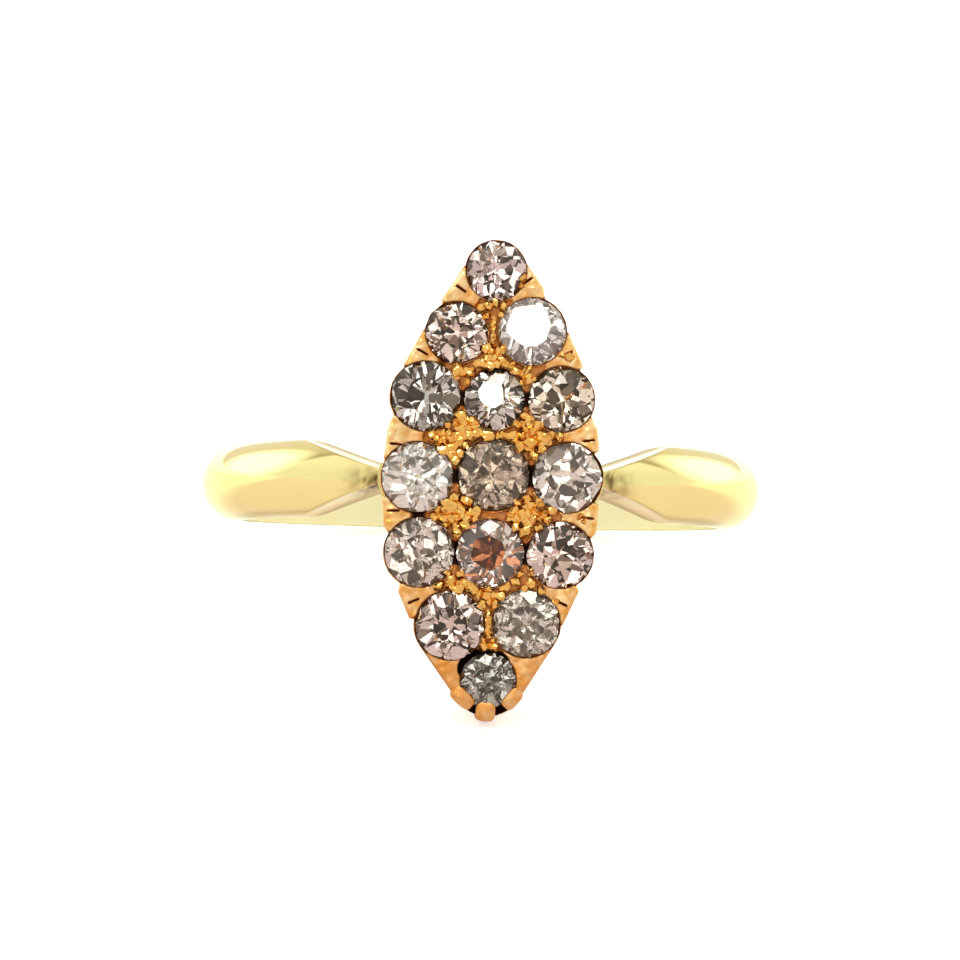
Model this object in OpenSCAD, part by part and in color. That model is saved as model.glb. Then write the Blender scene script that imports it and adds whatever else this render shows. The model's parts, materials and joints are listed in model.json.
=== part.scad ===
// Navette cluster ring: fifteen old-cut stones in a pierced gold plate on a half-round band.
// It lies on its side as it comes to rest, on the head's lower claw and the back of the band.

/* [Band] */
// Inside diameter of the band, which is the finger size
bore_d = 17; // [16:0.1:18]
// Radius of the half-round wire
wire_r = 1.36; // [1.3:0.02:1.44]
// Thickness of the band at its two sides
band_t = 1.58; // [1.5:0.02:1.7]
// How far the band's outside is set towards the head
band_shift = 0.45; // [0.35:0.05:0.5]
// Half the width of the band at the back
back_half_w = 1.22; // [1.18:0.01:1.26]
// Narrowing of each side of the band, per unit of distance towards the back
side_taper = 0.014; // [0.01:0.001:0.016]
// Distance out from the middle where the filing of a shoulder starts
filed_x = 6.05; // [5.8:0.05:6.4]
// Fall of the filed face towards the head, per unit across
filed_fall = 0.3; // [0.26:0.01:0.32]
// Lean of the filed face towards the front, per unit of depth
filed_lean = 0.12; // [0.08:0.01:0.15]

/* [Head] */
// Distance of the plate's front from the middle of the finger
head_h = 11.4; // [11.2:0.1:11.8]
// How much lower than the band's middle the head is soldered
head_drop = 0.14; // [0:0.02:0.2]
// Thickness of the setting plate
plate_t = 1.15; // [1.1:0.05:1.3]
// Metal left outside an outer stone
rim_w = 0.08; // [0.06:0.01:0.12]
// Metal left outside the lowest stone, which sits in a wider seat
tip_rim_w = 0.32; // [0.28:0.01:0.36]
// How far the plate's corners stand back from the line that joins two stones' rims
corner_inset = 0.06; // [0.02:0.01:0.1]
// Distance of the gallery's bottom edge from the middle of the finger
gallery_h = 9.1; // [9:0.05:9.3]
// Thickness of the gallery wall
gallery_t = 0.45; // [0.35:0.05:0.5]
// How far the gallery wall stands back from the plate's edge
gallery_inset = 0.25; // [0.25:0.05:0.35]
// Width of the two soldering collars beside the middle row
collar_w = 1.4; // [1.2:0.1:1.6]
// How far the collars' middle is under the middle of the band
collar_drop = 0.3; // [0.2:0.05:0.4]
// How far a collar stands out beyond the stone beside it
collar_out = 0.15; // [0.1:0.01:0.2]

/* [Claws, grains and cuts] */
// Radius of a claw round the lowest stone
claw_r = 0.26; // [0.22:0.01:0.28]
// Radius of a grain on a small island
small_grain_r = 0.1; // [0.08:0.01:0.12]
// Radius of a grain on a large kite-shaped island
large_grain_r = 0.13; // [0.1:0.01:0.15]
// Length of the engraved cut on each corner
cut_len = 0.42; // [0.3:0.02:0.5]
// Width of that cut
cut_w = 0.1; // [0.06:0.01:0.14]

/* [Stones] */
// Height of a crown as a share of the stone's radius
crown_share = 0.32; // [0.28:0.01:0.36]
// Radius of a table as a share of the stone's radius
table_share = 0.54; // [0.45:0.01:0.6]
// Depth of a pavilion as a share of the stone's radius
pavilion_share = 0.84; // [0.78:0.01:0.88]
// Radius of an open culet as a share of the stone's radius
culet_share = 0.1; // [0.06:0.01:0.14]
// Thickness of a girdle
girdle_t = 0.05; // [0.04:0.01:0.07]
// Depth of a girdle's upper edge under the plate's front
girdle_depth = 0.1; // [0.06:0.01:0.14]
// Free space between a stone and its seat
seat_gap = 0.02; // [0.015:0.005:0.03]

/* [Hidden] */
// Each stone's middle across and up the plate, its radius, and its turn in the seat
STONES = [
    [0.03, 7.10, 0.99, 8],
    [-1.28, 4.98, 1.02, 31],
    [1.29, 5.06, 1.12, 15],
    [-2.29, 2.80, 1.15, 40],
    [0.04, 2.72, 1.00, 5],
    [2.31, 2.78, 1.09, 22],
    [-2.52, 0.05, 1.18, 12],
    [0.05, 0.18, 1.20, 34],
    [2.55, 0.13, 1.17, 19],
    [-2.41, -2.48, 1.15, 27],
    [-0.02, -2.47, 1.13, 3],
    [2.34, -2.49, 1.10, 36],
    [-1.33, -4.93, 1.15, 17],
    [1.24, -4.84, 1.12, 29],
    [-0.01, -6.76, 0.91, 10],
];
// The outer stones in order, anticlockwise from the top
EDGE = [0, 1, 3, 6, 9, 12, 14, 13, 11, 8, 5, 2];
// Where the plate's corner after each outer stone starts and ends, as shares of the way to the next
CORNERS = [
    [0.20, 0.74],
    [0.20, 0.75],
    [0.45, 0.80],
    [0.25, 0.62],
    [0.36, 0.72],
    [0, 1],
    [0, 1],
    [0.20, 0.68],
    [0.33, 0.70],
    [0.30, 0.58],
    [0.30, 0.78],
    [0.42, 0.85],
];
// Islands of metal, each by the stones round it, and the grains' radius there
ISLANDS = [
    [[0, 1, 2], small_grain_r],
    [[1, 2, 4], small_grain_r],
    [[1, 3, 4], small_grain_r],
    [[2, 4, 5], small_grain_r],
    [[3, 4, 6, 7], large_grain_r],
    [[4, 5, 7, 8], large_grain_r],
    [[6, 7, 9, 10], large_grain_r],
    [[7, 8, 10, 11], large_grain_r],
    [[9, 10, 12], small_grain_r],
    [[10, 11, 13], small_grain_r],
    [[10, 12, 13], small_grain_r],
    [[12, 13, 14], small_grain_r],
];
TIP_STONE = 14;
// Directions of the three claws, seen from the middle of the lowest stone
CLAW_ANGLES = [-146, -94, -36];
// Directions of the open gaps beside the lowest stone
GAP_ANGLES = [138, -120, -63];
// Distance of each gap's middle from the middle of that stone, and its radius
GAP_REACHES = [0.98, 1.14, 1.14];
gap_r = 0.14;
// Distance of a claw's middle from the middle of the lowest stone
claw_reach = 1.14;
// Height of a claw's round end over the plate's front
claw_rise = 0.02;
// How far outside a stone's edge the middle of a grain lies
grain_out = 0.05;
// How far a seat's hole is cut past the plate's back
seat_past = 0.15;
// How far other cuts run past the faces that they open
past = 1;
// Overlap of the parts that are soldered into one
solder = 0.01;
// How far short of a corner the round stretch of the outline stops
wrap_short = 0.08;
// Largest sine of the angle by which the outline follows a stone past the edge
wrap_limit = 0.57;
bore_r = bore_d / 2;
section_r = bore_r + band_t - wire_r;
back_r = section_r - band_shift;
// Lowest point of the head: the foot of the middle claw, under the plate
tip_stone = STONES[TIP_STONE];
tip_z = -(tip_stone.y + claw_reach * sin(CLAW_ANGLES[1])) + claw_r + head_drop;
tip_y = head_h - plate_t;
// The lower edge at the back of the band, where its side meets the half-round outside
trim_k = 1 + side_taper * side_taper;
trim_h = back_half_w * side_taper;
trim_c = back_half_w * back_half_w - wire_r * wire_r;
edge_out = (trim_h + sqrt(trim_h * trim_h - trim_k * trim_c)) / trim_k;
back_y = back_r + edge_out;
back_z = back_half_w - side_taper * edge_out;
// Lean at which the claw's foot and that edge both touch the ground
tilt = atan((tip_z - back_z) / (tip_y + back_y));
lift = back_y * sin(tilt) + back_z * cos(tilt);
reach_back = back_r * cos(tilt) + wire_r;
reach_front = (head_h + claw_rise) * cos(tilt) + (tip_z - claw_r) * sin(tilt) + claw_r;
centre_y = (reach_front - reach_back) / 2;
// Where the shoulders are cut off, just outside the inner face of the gallery wall
shoulder_sink = 0.05;
shoulder_end = STONES[8].x + STONES[8][2] + rim_w - gallery_inset - gallery_t + shoulder_sink;
// A stone's proportions
half = 22.5;
star_share = 0.52;
low_share = 0.62;
side_r_share = (table_share + (1 - table_share) * star_share) / cos(half);
side_h_share = crown_share * (1 - star_share);
low_r_share = (1 - (1 - culet_share * cos(half)) * low_share) / cos(half);
// Radius of the hole behind a stone, as a share of the stone's radius
hole_share = 0.5;
PALE = "#e8d9a0";
DEEP = "#d9a441";

// Puts the ring, made with its finger axis upright, as it rests on the ground
module at_rest() {
    translate([0, centre_y, lift])
        rotate([-tilt, 0, 0])
            children();
}

// Puts what is drawn flat, with its front up, on the front of the head
module on_head() {
    translate([0, -head_h, -head_drop])
        rotate([90, 0, 0])
            children();
}

function edge_stone(k) = STONES[EDGE[(k + len(EDGE)) % len(EDGE)]];
function rim(k) = EDGE[(k + len(EDGE)) % len(EDGE)] == TIP_STONE ? tip_rim_w : rim_w;
function edge_r(k, grow) = edge_stone(k)[2] + rim(k) + grow;
function around(s, r, a) = [s.x + r * cos(a), s.y + r * sin(a)];
function mid(p, q, t) = p + (q - p) * t;

// Outward direction of the straight edge that joins outer stones k and k + 1
function edge_dir(k, grow) =
    let (a = edge_stone(k), b = edge_stone(k + 1))
    let (dx = b.x - a.x, dy = b.y - a.y)
    atan2(dy, dx) - acos((edge_r(k, grow) - edge_r(k + 1, grow)) / norm([dx, dy]));

// The ends of that straight edge
function edge_from(k, grow) = around(edge_stone(k), edge_r(k, grow), edge_dir(k, grow));
function edge_to(k, grow) = around(edge_stone(k + 1), edge_r(k + 1, grow), edge_dir(k, grow));

// How far the outline follows a stone of radius r past the edge, to a corner at that share of it
function wrap(k, r, share) =
    let (edge = norm(edge_to(k, 0) - edge_from(k, 0)))
    asin(min(wrap_limit, max(0, share * edge - wrap_short) / r));

// The arc of the outline round outer stone k
function edge_arc(k, grow, cornered) =
    let (last = (k - 1 + len(EDGE)) % len(EDGE), r = edge_r(k, grow))
    let (from = edge_dir(k - 1, grow) - (cornered ? wrap(last, r, 1 - CORNERS[last][1]) : 0))
    let (to = edge_dir(k, grow) + (cornered ? wrap(k, r, CORNERS[k][0]) : 0))
    let (turn = (to - from + 720) % 360, steps = max(1, ceil(turn / 8)))
    [for (i = [0 : steps]) around(edge_stone(k), r, from + turn * i / steps)];

// The two points of the plate's corner after outer stone k
function corner(k) =
    let (a = edge_dir(k, 0), inward = [-cos(a), -sin(a)] * corner_inset)
    CORNERS[k][0] == 0 ? [] : [
        for (t = CORNERS[k]) mid(edge_from(k, 0), edge_to(k, 0), t) + inward
    ];

// The plate's outline, moved out or in by grow, with or without its corners
function outline(grow, cornered) = [
    for (k = [0 : len(EDGE) - 1])
        each concat(edge_arc(k, grow, cornered), cornered ? corner(k) : [])
];

// The space that a stone takes in the metal, from its culet up past its table
module seat(s) {
    r = s[2];
    gap = seat_gap;
    low = girdle_depth + girdle_t;
    hole_r = hole_share * r;
    cone_h = (1 - hole_share) * r * low_share * pavilion_share / (1 - low_r_share);
    floor_h = -plate_t - seat_past;
    top_h = crown_share * r - girdle_depth;
    side_h = side_h_share * r - girdle_depth;
    translate([s.x, s.y, 0])
        rotate_extrude($fn = 64)
            polygon([
                [0, floor_h],
                [hole_r + gap, floor_h],
                [hole_r + gap, -low - cone_h - gap],
                [r + gap, -low - gap],
                [r + gap, -girdle_depth + gap],
                [side_r_share * r + 2 * gap, side_h + 2 * gap],
                [table_share * r + 2 * gap, top_h + 2 * gap],
                [0, top_h + 2 * gap],
            ]);
}

// The straight part of a seat, open to the front
module seat_mouth(s) {
    translate([s.x, s.y, -girdle_depth])
        cylinder(r = s[2] + seat_gap, h = girdle_depth + past, $fn = 64);
}

// One engraved cut, running in from the plate's edge after outer stone k
module corner_cut(k) {
    c = mid(edge_from(k, 0), edge_to(k, 0), (CORNERS[k][0] + CORNERS[k][1]) / 2);
    translate([c.x, c.y, 0])
        rotate([0, 0, edge_dir(k, 0) + 180])
            rotate([45, 0, 0])
                translate([-cut_w, -cut_w / 2, -cut_w / 2])
                    cube([cut_len, cut_w, cut_w]);
}

module plate() {
    difference() {
        translate([0, 0, -plate_t])
            linear_extrude(height = plate_t)
                polygon(outline(0, true));
        for (s = STONES)
            seat_mouth(s);
        for (k = [0 : len(EDGE) - 1])
            if (CORNERS[k][0] > 0)
                corner_cut(k);
        for (i = [0 : 2])
            tip_gap(GAP_ANGLES[i], GAP_REACHES[i]);
    }
}

// One of the gaps, open to the back, between the lowest stone and its claws
module tip_gap(a, reach) {
    p = around(tip_stone, reach, a);
    translate([p.x, p.y, -plate_t - past])
        cylinder(r = gap_r, h = plate_t + 2 * past, $fn = 24);
}

// A small bead of metal over the edge of each stone round an island
module grains(island) {
    members = [for (i = island[0]) [STONES[i].x, STONES[i].y]];
    centre = average(members);
    for (i = island[0]) {
        s = STONES[i];
        p = around(s, s[2] + grain_out, atan2(centre.y - s.y, centre.x - s.x));
        translate([p.x, p.y, 0])
            sphere(r = island[1], $fn = 24);
    }
}

function total(v, i = 0) = i == len(v) ? [0, 0] : v[i] + total(v, i + 1);
function average(v) = total(v) / len(v);

module claw(a) {
    p = around(tip_stone, claw_reach, a);
    translate([p.x, p.y, -plate_t])
        cylinder(r = claw_r, h = plate_t + claw_rise, $fn = 32);
    translate([p.x, p.y, claw_rise])
        sphere(r = claw_r, $fn = 32);
}

module gallery() {
    translate([0, 0, gallery_h - head_h])
        linear_extrude(height = head_h - gallery_h - plate_t + solder)
            difference() {
                polygon(outline(-gallery_inset, false));
                polygon(outline(-gallery_inset - gallery_t, false));
            }
}

// A short curved wall beside each end of the middle row, to which a shoulder is soldered
module collars() {
    for (k = [6, 8]) {
        s = STONES[k];
        side = sign(s.x);
        intersection() {
            translate([s.x, s.y, -head_h])
                cylinder(r = s[2] + collar_out, h = head_h - plate_t + solder, $fn = 64);
            translate([side * (shoulder_end + 2), head_drop - collar_drop, -head_h / 2])
                cube([4, collar_w, head_h], center = true);
        }
    }
}

// The block that is filed away from the upper side of the right shoulder
module filed() {
    n = norm([filed_fall, filed_lean, 1]);
    block_w = filed_x - shoulder_end + 3 * past;
    block_l = 8 * wire_r;
    block_t = 2 * wire_r;
    translate([filed_x, -sqrt(bore_r * bore_r - filed_x * filed_x), wire_r])
        rotate([asin(filed_lean / n), -atan(filed_fall), 0])
            translate([shoulder_end - filed_x - past, -block_l / 2, 0])
                cube([block_w, block_l, block_t]);
}

// The block that narrows the upper side of the band towards the back
module side_trim() {
    translate([0, back_r, back_half_w])
        rotate([-atan(side_taper), 0, 0])
            translate([-head_h, -2 * head_h, 0])
                cube([2 * head_h, 3 * head_h, wire_r]);
}

module band() {
    difference() {
        translate([0, -band_shift, 0])
            rotate_extrude($fn = 128)
                translate([section_r, 0])
                    circle(r = wire_r, $fn = 48);
        translate([-shoulder_end, -head_h, -wire_r - past])
            cube([2 * shoulder_end, head_h, 2 * wire_r + 2 * past]);
        for (face = [0, 1])
            mirror([0, 0, face]) {
                side_trim();
                filed();
                mirror([1, 0, 0])
                    filed();
            }
    }
}

module gold_mount() {
    at_rest()
        difference() {
            union() {
                color(PALE)
                    band();
                on_head() {
                    color(PALE) {
                        gallery();
                        collars();
                    }
                    color(DEEP) {
                        plate();
                        for (island = ISLANDS)
                            grains(island);
                        for (a = CLAW_ANGLES)
                            claw(a);
                    }
                }
            }
            cylinder(r = bore_r, h = 2 * head_h, center = true, $fn = 128);
            on_head()
                for (s = STONES)
                    seat(s);
        }
}

// An old-cut round stone: octagonal table, stars, kites, halves, girdle, mains and open culet
module diamond(s) {
    r = s[2];
    table = [for (i = [0 : 7]) ring_point(table_share * r, 2 * i, crown_share * r)];
    side = [for (i = [0 : 7]) ring_point(side_r_share * r, 2 * i + 1, side_h_share * r)];
    upper = [for (i = [0 : 15]) ring_point(r, i, 0)];
    lower = [for (i = [0 : 15]) ring_point(r, i, -girdle_t)];
    deep = -girdle_t - pavilion_share * r;
    low = -girdle_t - low_share * pavilion_share * r;
    under = [for (i = [0 : 7]) ring_point(low_r_share * r, 2 * i + 1, low)];
    culet = [for (i = [0 : 7]) ring_point(culet_share * r, 2 * i + 1, deep)];
    stars = [for (i = [0 : 7]) [i, (i + 1) % 8, 8 + i]];
    kites = [for (i = [0 : 7]) [i, 8 + i, 16 + 2 * i, 8 + (i + 7) % 8]];
    halves = [
        for (i = [0 : 7]) each [
            [8 + i, 17 + 2 * i, 16 + 2 * i],
            [8 + i, 16 + (2 * i + 2) % 16, 17 + 2 * i],
        ]
    ];
    walls = [for (i = [0 : 15]) [16 + i, 16 + (i + 1) % 16, 32 + (i + 1) % 16, 32 + i]];
    low_halves = [
        for (i = [0 : 7]) each [
            [48 + i, 32 + 2 * i, 33 + 2 * i],
            [48 + i, 33 + 2 * i, 32 + (2 * i + 2) % 16],
        ]
    ];
    mains = [for (i = [0 : 7]) [32 + 2 * i, 48 + i, 56 + i, 56 + (i + 7) % 8, 48 + (i + 7) % 8]];
    color("#e9e6e2")
        at_rest()
            on_head()
                translate([s.x, s.y, -girdle_depth])
                    rotate([0, 0, s[3]])
                        polyhedron(
                            points = concat(table, side, upper, lower, under, culet),
                            faces = concat(
                                [[7, 6, 5, 4, 3, 2, 1, 0]], stars, kites, halves, walls,
                                low_halves, mains, [[56, 57, 58, 59, 60, 61, 62, 63]]
                            )
                        );
}

function ring_point(r, i, h) = [r * cos(half * i), r * sin(half * i), h];

module diamond_row1() diamond(STONES[0]);
module diamond_row2_left() diamond(STONES[1]);
module diamond_row2_right() diamond(STONES[2]);
module diamond_row3_left() diamond(STONES[3]);
module diamond_row3_middle() diamond(STONES[4]);
module diamond_row3_right() diamond(STONES[5]);
module diamond_row4_left() diamond(STONES[6]);
module diamond_row4_middle() diamond(STONES[7]);
module diamond_row4_right() diamond(STONES[8]);
module diamond_row5_left() diamond(STONES[9]);
module diamond_row5_middle() diamond(STONES[10]);
module diamond_row5_right() diamond(STONES[11]);
module diamond_row6_left() diamond(STONES[12]);
module diamond_row6_right() diamond(STONES[13]);
module diamond_row7() diamond(STONES[14]);

gold_mount();
diamond_row1();
diamond_row2_left();
diamond_row2_right();
diamond_row3_left();
diamond_row3_middle();
diamond_row3_right();
diamond_row4_left();
diamond_row4_middle();
diamond_row4_right();
diamond_row5_left();
diamond_row5_middle();
diamond_row5_right();
diamond_row6_left();
diamond_row6_right();
diamond_row7();
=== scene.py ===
import json
import math
import random

import bmesh
import bpy
from mathutils import Matrix, Vector, kdtree, noise
from mathutils.geometry import delaunay_2d_cdt


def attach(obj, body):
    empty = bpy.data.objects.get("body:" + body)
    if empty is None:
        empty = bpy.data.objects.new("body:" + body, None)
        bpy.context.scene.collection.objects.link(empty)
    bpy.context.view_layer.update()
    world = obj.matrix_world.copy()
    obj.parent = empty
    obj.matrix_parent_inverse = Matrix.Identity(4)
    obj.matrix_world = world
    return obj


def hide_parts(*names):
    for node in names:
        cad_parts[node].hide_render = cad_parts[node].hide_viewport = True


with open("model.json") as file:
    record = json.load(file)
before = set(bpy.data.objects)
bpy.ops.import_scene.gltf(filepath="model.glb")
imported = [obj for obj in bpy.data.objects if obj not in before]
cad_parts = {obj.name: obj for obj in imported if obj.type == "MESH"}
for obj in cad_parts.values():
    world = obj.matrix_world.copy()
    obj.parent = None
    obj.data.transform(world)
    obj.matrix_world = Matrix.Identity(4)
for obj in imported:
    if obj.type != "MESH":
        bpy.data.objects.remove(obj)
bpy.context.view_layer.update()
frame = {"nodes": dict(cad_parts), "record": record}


# The band: a length of half-round gold wire, bent to the finger and flat inside. Its sides are
# dressed a little thinner towards the back, and each shoulder is filed flat, above and below,
# where it runs into the head. It is polished 18 carat gold of a pale colour.

MM = 0.001
finger = frame["record"]["mounts"][0]
bore_r = finger["dims"]["r_mm"]
lean = math.atan2(finger["axis"][1], finger["axis"][2])
from_ring = (
    Matrix.Translation(finger["pos_m"]) @ Matrix.Rotation(-lean, 4, "X") @ Matrix.Scale(MM, 4)
)

# Sizes in millimetres. A point less than a hair from a surface counts as lying on it
hair = 0.01
wire_r = 1.36
wire_t = 1.58
wire_bend_r = bore_r + wire_t - wire_r
wire_shift = 0.45
back_half_w = 1.22
side_taper = 0.014
back_y = wire_bend_r - wire_shift
filed_x = 6.05
filed_y = -math.sqrt(bore_r**2 - filed_x**2)
filed_fall = 0.3
filed_lean = 0.12
hollow_rise = 0.09
hollow_w = 0.7
shoulder_end = 3.15
edge_round = 0.06
crease_round = 0.05
inside_limit = 0.2

halvings = 40
tries_across = 60
plain_sections = 216
end_sections = 18
last_turn = math.radians(-58)


def wire_place(turn, out):
    """A point of the wire seen along the finger, at a distance out from the wire's middle."""
    reach = wire_bend_r + out
    return reach * math.cos(turn), reach * math.sin(turn) - wire_shift


def soft_min(a, b, k):
    """The smaller of two heights, with a round of size k where they meet."""
    overlap = max(k - abs(a - b), 0) / k
    return min(a, b) - overlap**2 * k / 4


def step_up(value, low, high):
    """Nothing below low, one above high, and a smooth rise between them."""
    share = max(0, min(1, (value - low) / (high - low)))
    return share * share * (3 - 2 * share)


def dressed_height(x, y):
    """How high the dressed sides and the filed flats, a little hollow, leave the metal there."""
    dressed = back_half_w + side_taper * (back_y - y)
    filed = wire_r + filed_fall * (abs(x) - filed_x) + filed_lean * (y - filed_y)
    filed += hollow_rise * (1 - step_up(math.hypot(x, y) - bore_r, 0, hollow_w))
    return min(dressed, filed)


def crossing(f, low, high):
    """Where f changes sign between low and high."""
    for _ in range(halvings):
        middle = (low + high) / 2
        if (f(low) < 0) == (f(middle) < 0):
            low = middle
        else:
            high = middle
    return (low + high) / 2


def spread(start, end, count):
    """Even steps from start up to, but not onto, end."""
    return [start + (end - start) * i / count for i in range(count)]


def wire_section(turn_at):
    """The upper half of the wire's section, from the middle of the inside to the middle outside."""
    def place(u):
        return wire_place(turn_at(u), u)

    def round_height(u):
        return math.sqrt(max(wire_r**2 - u**2, 0))

    def over(u):
        return dressed_height(*place(u)) - round_height(u)

    inner = crossing(lambda u: math.hypot(*place(u)) - bore_r, -wire_r, inside_limit)
    tries = spread(inner, wire_r, tries_across) + [wire_r]
    cut = [i for i, u in enumerate(tries) if over(u) < 0]
    if cut:
        flat_from = tries[0] if cut[0] == 0 else crossing(over, tries[cut[0] - 1], tries[cut[0]])
        flat_to = crossing(over, tries[cut[-1]], tries[cut[-1] + 1])
    else:
        flat_from = flat_to = max(0, inner)
    start = inner + edge_round

    # Over the inner edge, each crease and the flat between them: from, to, and how many points
    marks = [
        (start, flat_from - crease_round, 7),
        (flat_from - crease_round, flat_from + crease_round, 4),
        (flat_from + crease_round, flat_to - crease_round, 6),
        (flat_to - crease_round, flat_to + crease_round, 4),
    ]
    outs = [u for mark in marks for u in spread(*mark)]
    last = math.acos(min(1, (flat_to + crease_round) / wire_r))
    outs += [wire_r * math.cos(a) for a in spread(last, 0, 20)] + [wire_r]
    top = []
    for u in outs:
        u = min(max(u, start, top[-1][0] if top else start), wire_r)
        top.append((u, soft_min(round_height(u), dressed_height(*place(u)), crease_round)))
    wall_top = top[0][1] - edge_round
    wall = [(inner, z) for z in spread(0, wall_top, 6)]
    fillet = [
        (start - edge_round * math.cos(a), wall_top + edge_round * math.sin(a))
        for a in spread(0, math.pi / 2, 4)
    ]
    return [(*place(u), z) for u, z in wall + fillet + top]


def sloping_section(share):
    """A section on the way from the last square one to the end, which is cut along the head."""
    def turn_at(u):
        end = -math.acos(shoulder_end / (wire_bend_r + u))
        return last_turn + (end - last_turn) * share

    return wire_section(turn_at)


def stitch(rings, endless=False):
    """The points of some rings in one list, and the faces of the skin over them."""
    size = len(rings[0])
    points = [p for ring in rings for p in ring]
    faces = []
    for k in range(len(rings) if endless else len(rings) - 1):
        a, b = k * size, (k + 1) % len(rings) * size
        for i in range(size):
            j = (i + 1) % size
            faces.append((a + i, a + j, b + j, b + i))
    if not endless:
        faces += [tuple(range(size)), tuple(range(len(points) - size, len(points)))]
    return points, faces


def clean_mesh(name, points, faces, place, merge=0.002):
    """A closed mesh in its place in the row frame, from points in millimetres."""
    bm = bmesh.new()
    verts = [bm.verts.new(p) for p in points]
    for f in faces:
        bm.faces.new([verts[i] for i in f])
    bmesh.ops.remove_doubles(bm, verts=bm.verts, dist=merge)
    bmesh.ops.dissolve_degenerate(bm, edges=bm.edges, dist=merge / 10)
    bmesh.ops.recalc_face_normals(bm, faces=bm.faces)
    if bm.calc_volume(signed=True) < 0:
        bmesh.ops.reverse_faces(bm, faces=bm.faces)
    bm.transform(place)
    mesh = bpy.data.meshes.new(name)
    bm.to_mesh(mesh)
    bm.free()
    return mesh


def mark_grime_and_shade(mesh, place, grime_and_shade_at):
    """Gives each point of a mesh its share of dirt and painted shade, from where it lies in
    millimetres.
    """
    into_place = place.inverted()
    values = [grime_and_shade_at(into_place @ v.co) for v in mesh.vertices]
    mesh.attributes.new("grime_and_shade", "FLOAT", "POINT").data.foreach_set("value", values)


def new_object(name, data):
    """An object at the origin for a mesh or a camera."""
    placed = bpy.data.objects.new(name, data)
    bpy.context.scene.collection.objects.link(placed)
    return placed


def show(name, mesh, material, soft_edge=35):
    """A finished piece, smooth but for its edges that are sharper than soft_edge degrees."""
    mesh.materials.clear()
    mesh.materials.append(material)
    mesh.shade_smooth()
    mesh.set_sharp_from_angle(angle=math.radians(soft_edge))
    return new_object(name, mesh)


def new_tree(name, kind, inputs, outputs):
    """An empty node tree with named sockets, each with its usual value where it has one."""
    tree = bpy.data.node_groups.new(name, kind)
    for side, sockets in (("INPUT", inputs), ("OUTPUT", outputs)):
        for label, holds, *value in sockets:
            socket = tree.interface.new_socket(
                name=label, in_out=side, socket_type="NodeSocket" + holds,
            )
            if value:
                socket.default_value = value[0]
    return tree, tree.nodes.new("NodeGroupInput"), tree.nodes.new("NodeGroupOutput")


def feed(node, sources):
    """Gives inputs, by name or number, a value, a node's first output or a (node, output)."""
    for key, source in sources.items():
        if isinstance(source, bpy.types.Node):
            source = (source, 0)
        if isinstance(source, tuple) and isinstance(source[0], bpy.types.Node):
            node.id_data.links.new(source[0].outputs[source[1]], node.inputs[key])
        else:
            node.inputs[key].default_value = source


def add_node(tree, kind, sources, **settings):
    """A node with its settings and what feeds it."""
    node = tree.nodes.new(kind)
    for key, value in settings.items():
        setattr(node, key, value)
    feed(node, sources)
    return node


def add_math(tree, operation, *values, **settings):
    """A sum of numbers."""
    sources = dict(enumerate(values))
    return add_node(tree, "ShaderNodeMath", sources, operation=operation, **settings)


def add_range(tree, value, low, high, start=0.0, end=1.0):
    """A number that goes from start to end while value goes from low to high."""
    return add_node(
        tree, "ShaderNodeMapRange",
        {"Value": value, "From Min": low, "From Max": high, "To Min": start, "To Max": end},
    )


def add_mix(tree, share, start, end, **settings):
    """A colour between start and end, as a (node, output)."""
    sources = {0: share, 6: start, 7: end}
    return add_node(tree, "ShaderNodeMix", sources, data_type="RGBA", **settings), 2


def add_noise(tree, place, scale, detail, roughness=0.5, distortion=0.0):
    """Soft noise from nothing to one."""
    return add_node(
        tree, "ShaderNodeTexNoise",
        {"Vector": place, "Scale": scale, "Detail": detail, "Roughness": roughness,
         "Distortion": distortion},
    )


def new_material(name):
    """A new material, its nodes and its shader."""
    material = bpy.data.materials.new(name)
    material.use_nodes = True
    return material, material.node_tree, material.node_tree.nodes["Principled BSDF"]


# Years of wear on polished gold: the colour drifts a little and fine rubbing dulls it in patches.
# A share of dirt and painted shade, in corners, cuts and recesses, darkens it towards tarnish and
# then near black, and dulls it.
rub_scale = 3000.0
warm_band = (0.36, 0.62)
tarnish_and_shade_full = 0.6
black_from = 0.45
black_of_grime_and_shade = (0.035, 0.012, 0.006, 1)
grime_and_shade_dulls = 0.5

worn_and_shaded_gold, shaded_gold_in, shaded_gold_out = new_tree(
    "Worn and shaded gold", "ShaderNodeTree",
    [("Colour", "Color", (0.9, 0.75, 0.4, 1)), ("Warm colour", "Color", (0.8, 0.6, 0.3, 1)),
     ("Patch size", "Float", 400.0), ("Polish", "Float", 0.08),
     ("Tarnish", "Color", (0.5, 0.2, 0.05, 1)), ("Grime", "Float", 0.0)],
    [("Colour", "Color"), ("Roughness", "Float"), ("Height", "Float")],
)
on_gold = (add_node(worn_and_shaded_gold, "ShaderNodeTexCoord", {}), "Object")
patches = add_noise(worn_and_shaded_gold, on_gold, (shaded_gold_in, "Patch size"), 3.0)
rubs = add_noise(worn_and_shaded_gold, on_gold, rub_scale, 3.0, 0.6)
warmth = add_range(worn_and_shaded_gold, patches, *warm_band)
tone = add_mix(worn_and_shaded_gold, warmth, (shaded_gold_in, "Colour"), (shaded_gold_in, "Warm colour"))
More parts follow.
